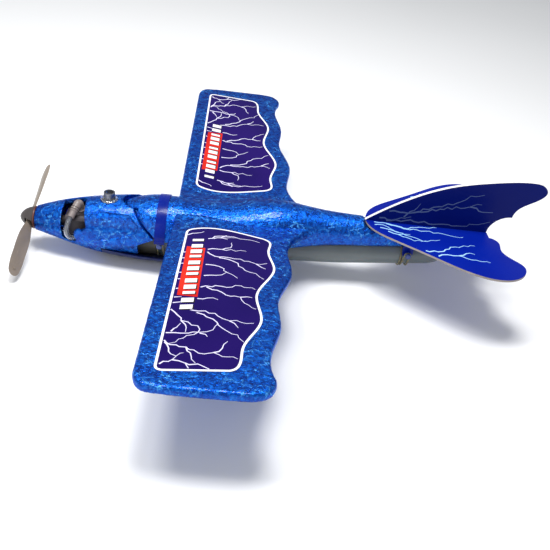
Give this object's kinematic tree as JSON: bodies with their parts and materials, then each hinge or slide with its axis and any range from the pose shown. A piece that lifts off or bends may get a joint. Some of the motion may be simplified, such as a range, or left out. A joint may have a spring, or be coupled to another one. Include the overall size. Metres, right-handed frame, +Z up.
{
  "type": "compressed-air model plane",
  "caption": "Foam free-flight plane with swept tail, slung air tank, strapped wing unit and a small air-driven piston motor turning a two-blade propeller.",
  "frame": {"origin": "centre of the overall box at the level of its lowest point, under the fuselage just behind mid-chord of the wing", "axes": "+X aft from the spinner to the tail, +Y to starboard along the span, +Z up along the fin"},
  "size_m": [0.4278, 0.4632, 0.1077],
  "materials": {
    "foil_foam": "crinkled metallic foil film over foam",
    "decal_film": "printed film",
    "tail_sheet": "printed glossy film on foam sheet",
    "strap_plastic": "moulded, glossy",
    "peg_plastic": "moulded",
    "band_rubber": "translucent natural rubber",
    "tank_plastic": "satin, slightly translucent",
    "cap_plastic": "moulded",
    "keel_plastic": "moulded, dark",
    "motor_plastic": "moulded",
    "head_plastic": "moulded, satin",
    "clear_plastic": "clear",
    "prop_plastic": "moulded, satin",
    "spinner_plastic": "moulded, satin",
    "steel": "ground",
    "brass": "turned",
    "collar_metal": "plated",
    "seal_rubber": "moulded"
  },
  "bodies": {
    "airframe": {"nose_cowl": "foil_foam", "keel_tray": "keel_plastic", "fuselage": "foil_foam", "wing_left": "foil_foam", "wing_right": "foil_foam", "wing_spar": "motor_plastic", "wing_decal_left": "decal_film", "wing_decal_right": "decal_film", "tail_fin": "tail_sheet", "stabilizer_left": "tail_sheet", "stabilizer_right": "tail_sheet", "tail_mount": "strap_plastic", "front_strap": "strap_plastic", "front_pegs": "peg_plastic", "rear_pegs": "peg_plastic", "front_band": "band_rubber", "rear_band": "band_rubber", "spare_band": "band_rubber", "air_tank": "tank_plastic", "tank_cap": "cap_plastic", "tank_seal": "seal_rubber", "motor_frame": "motor_plastic", "crankcase": "motor_plastic", "case_cover": "motor_plastic", "case_screws": "steel", "front_bush": "brass", "rear_bush": "brass", "barrel": "head_plastic", "cylinder_head": "head_plastic", "valve_spring": "steel", "nose_plate": "motor_plastic", "thrust_washer": "steel", "valve_body": "clear_plastic", "valve_ring": "collar_metal", "fill_spring": "steel", "feed_tube": "clear_plastic", "fill_tube": "clear_plastic"},
    "rotor": {"crankshaft": "steel", "crank_pin": "steel", "propeller": "prop_plastic", "spinner_base": "spinner_plastic", "spinner": "spinner_plastic", "prop_nut": "steel"},
    "piston_group": {"piston": "head_plastic", "piston_seal": "seal_rubber", "wrist_pin": "steel"},
    "rod": {"connecting_rod": "spinner_plastic"},
    "valve_ball": {"valve_ball": "steel"},
    "plunger": {"fill_plunger": "steel", "fill_seal": "seal_rubber"}
  },
  "joints": [
    {"name": "prop_spin", "type": "hinge", "parent": "airframe", "child": "rotor", "pos_m": [-0.2053, 0, 0.0261], "axis": [1, 0, 0], "continuous": true},
    {"name": "piston_slide", "type": "slide", "parent": "airframe", "child": "piston_group", "axis": [0, 0, 1], "range_m": [0, 0.006]},
    {"name": "rod_swing", "type": "hinge", "parent": "piston_group", "child": "rod", "pos_m": [-0.1656, 0, 0.0311], "axis": [1, 0, 0], "range_deg": [-22, 22]},
    {"name": "ball_lift", "type": "slide", "parent": "airframe", "child": "valve_ball", "axis": [0, 0, 1], "range_m": [0, 0.0005], "stiffness_N_per_m": 20, "springref_m": -0.002, "deforming": ["valve_spring"]},
    {"name": "plunger_press", "type": "slide", "parent": "airframe", "child": "plunger", "axis": [0, 0, -1], "range_m": [0, 0.0015], "stiffness_N_per_m": 60, "springref_m": -0.003, "deforming": ["fill_spring"]}
  ]
}
